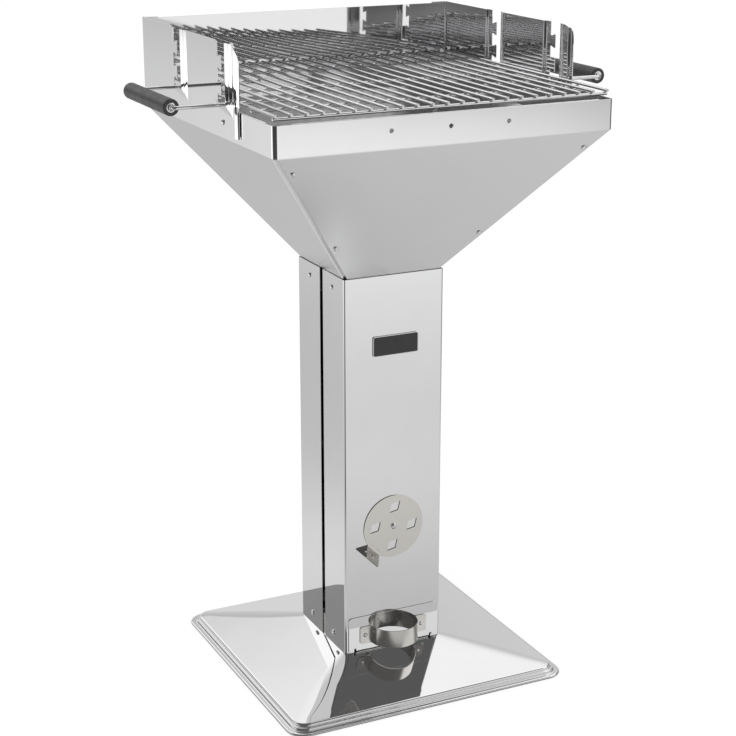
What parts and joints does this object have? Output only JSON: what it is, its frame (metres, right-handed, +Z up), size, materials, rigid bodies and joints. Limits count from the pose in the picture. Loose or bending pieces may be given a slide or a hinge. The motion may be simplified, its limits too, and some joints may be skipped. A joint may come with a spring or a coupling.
{
  "type": "charcoal column grill",
  "caption": "Free-standing column charcoal grill: pressed square foot, sheet column with ash drawer and air damper, funnel fire tray, windshield and lift-out grate.",
  "frame": {"origin": "floor level, under the centre of the column and foot", "axes": "+Z up, -Y to the front (damper, name plate and ash drawer), +X to the grill's right as seen from the front"},
  "size_m": [0.6394, 0.4606, 0.907],
  "materials": {
    "polished_sheet": "mirror-polished stainless sheet",
    "satin_steel": "satin rolled stainless sheet",
    "bright_fastener": "bright plated fastener",
    "plated_wire": "bright plated steel wire",
    "coal_wire": "plain drawn wire",
    "grip_plastic": "black moulded heat-resistant plastic",
    "plate_black": "black plate, left bare",
    "plate_silver": "raised silver rim"
  },
  "bodies": {
    "stand": {"foot": "polished_sheet", "foot_bracket_left": "satin_steel", "foot_bracket_right": "satin_steel", "bracket_rivets": "satin_steel", "column_front": "polished_sheet", "column_rear": "polished_sheet", "column_base_bolts": "bright_fastener", "column_base_nuts": "bright_fastener", "column_top_bolts": "bright_fastener", "column_top_nuts": "bright_fastener", "funnel_front": "polished_sheet", "funnel_rear": "polished_sheet", "funnel_left": "polished_sheet", "funnel_right": "polished_sheet", "funnel_bolts": "bright_fastener", "funnel_nuts": "bright_fastener", "windshield_left": "polished_sheet", "windshield_right": "polished_sheet", "windshield_rear": "polished_sheet", "windshield_bolts": "bright_fastener", "windshield_nuts": "bright_fastener", "damper_screw": "bright_fastener", "damper_washer": "bright_fastener", "damper_nut": "bright_fastener", "name_plate": "plate_black", "name_plate_rim": "plate_silver"},
    "cooking_grate": {"grate_bars": "plated_wire", "grate_cross_rods": "plated_wire", "handle_wire_left": "plated_wire", "handle_wire_right": "plated_wire"},
    "left_grip": {"grip_left": "grip_plastic", "grip_ferrules_left": "bright_fastener"},
    "right_grip": {"grip_right": "grip_plastic", "grip_ferrules_right": "bright_fastener"},
    "charcoal_grate": {"charcoal_grate_frame": "coal_wire", "charcoal_grate_bars": "coal_wire"},
    "ash_drawer": {"ash_pan": "satin_steel", "drawer_front": "polished_sheet", "drawer_handle": "satin_steel", "drawer_rivets": "bright_fastener"},
    "damper": {"damper_disc": "satin_steel"}
  },
  "joints": [
    {"name": "grate_lift", "type": "slide", "parent": "stand", "child": "cooking_grate", "axis": [0, 0, 1], "range_m": [0, 0.085]},
    {"name": "left_grip_turn", "type": "hinge", "parent": "cooking_grate", "child": "left_grip", "pos_m": [-0.309, -0.003, 0.8315], "axis": [0, 1, 0], "continuous": true},
    {"name": "right_grip_turn", "type": "hinge", "parent": "cooking_grate", "child": "right_grip", "pos_m": [0.309, -0.003, 0.8315], "axis": [0, 1, 0], "continuous": true},
    {"name": "charcoal_grate_lift", "type": "slide", "parent": "stand", "child": "charcoal_grate", "axis": [0, 0, 1], "range_m": [0, 0.1]},
    {"name": "drawer_slide", "type": "slide", "parent": "stand", "child": "ash_drawer", "axis": [0, -1, 0], "range_m": [0, 0.125]},
    {"name": "damper_turn", "type": "hinge", "parent": "stand", "child": "damper", "pos_m": [0, -0.0758, 0.221], "axis": [0, -1, 0], "continuous": true}
  ]
}
